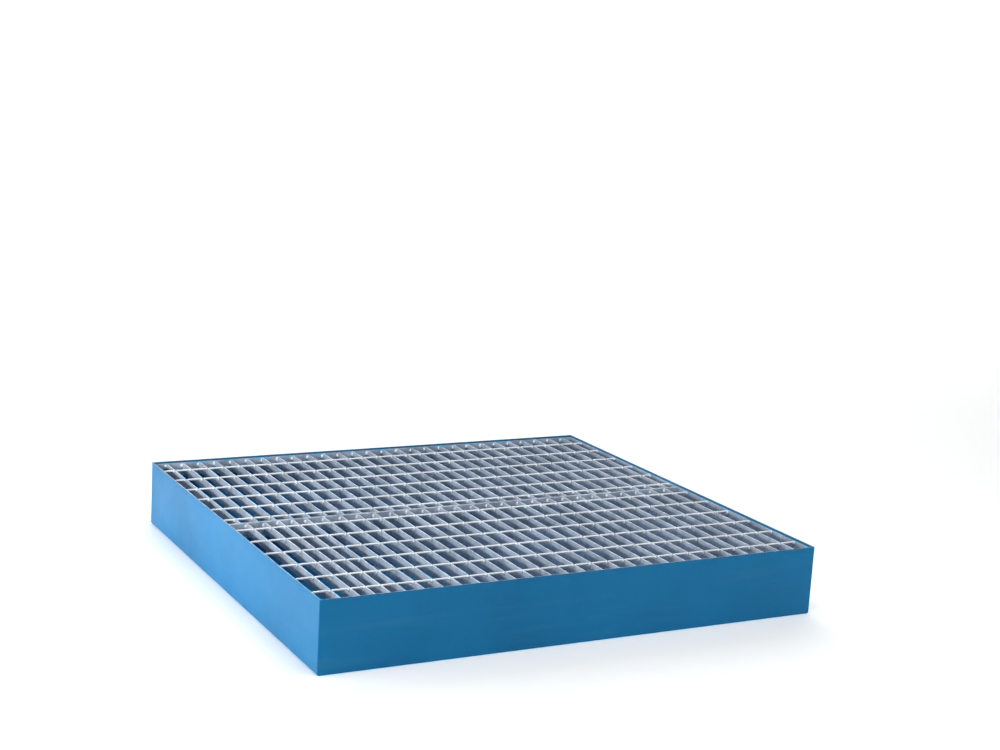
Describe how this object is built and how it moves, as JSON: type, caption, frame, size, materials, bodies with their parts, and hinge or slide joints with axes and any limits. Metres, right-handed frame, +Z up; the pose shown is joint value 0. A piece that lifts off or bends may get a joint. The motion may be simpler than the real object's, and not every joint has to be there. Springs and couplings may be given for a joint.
{
  "type": "spill containment pallet",
  "caption": "Low square steel sump that stands flat on the floor, with lift-out bar gratings that carry drums over the space that catches leaks.",
  "frame": {"origin": "middle of the underside, on the ground the pallet stands on", "axes": "+X along the front edge, which is the longer side; +Y to the back; +Z up"},
  "size_m": [1.4, 1.29, 0.183],
  "materials": {
    "sump_paint": "semi-gloss sky blue coating on sheet steel",
    "inner_paint": "semi-gloss sky blue coating on welded-in steel sections",
    "galvanised_bar": "hot-dip galvanised flat bar, dull light grey",
    "galvanised_rod": "hot-dip galvanised cross rod, bright"
  },
  "bodies": {
    "sump": {"sump_pan": "sump_paint", "front_wall": "sump_paint", "rear_wall": "sump_paint", "front_ledge": "inner_paint", "rear_ledge": "inner_paint", "centre_web": "inner_paint", "centre_flange": "inner_paint"},
    "front_grating": {"front_load_bars": "galvanised_bar", "front_left_edge_bar": "galvanised_bar", "front_right_edge_bar": "galvanised_bar", "front_outer_band": "galvanised_bar", "front_joint_band": "galvanised_bar", "front_cross_rod_1": "galvanised_rod", "front_cross_rod_2": "galvanised_rod", "front_cross_rod_3": "galvanised_rod", "front_cross_rod_4": "galvanised_rod", "front_cross_rod_5": "galvanised_rod", "front_cross_rod_6": "galvanised_rod"},
    "rear_grating": {"rear_load_bars": "galvanised_bar", "rear_left_edge_bar": "galvanised_bar", "rear_right_edge_bar": "galvanised_bar", "rear_joint_band": "galvanised_bar", "rear_outer_band": "galvanised_bar", "rear_cross_rod_1": "galvanised_rod", "rear_cross_rod_2": "galvanised_rod", "rear_cross_rod_3": "galvanised_rod", "rear_cross_rod_4": "galvanised_rod", "rear_cross_rod_5": "galvanised_rod", "rear_cross_rod_6": "galvanised_rod"}
  },
  "joints": [
    {"name": "front_grating_lift", "type": "slide", "parent": "sump", "child": "front_grating", "axis": [0, 0, 1], "range_m": [0, 0.2]},
    {"name": "rear_grating_lift", "type": "slide", "parent": "sump", "child": "rear_grating", "axis": [0, 0, 1], "range_m": [0, 0.2]}
  ]
}
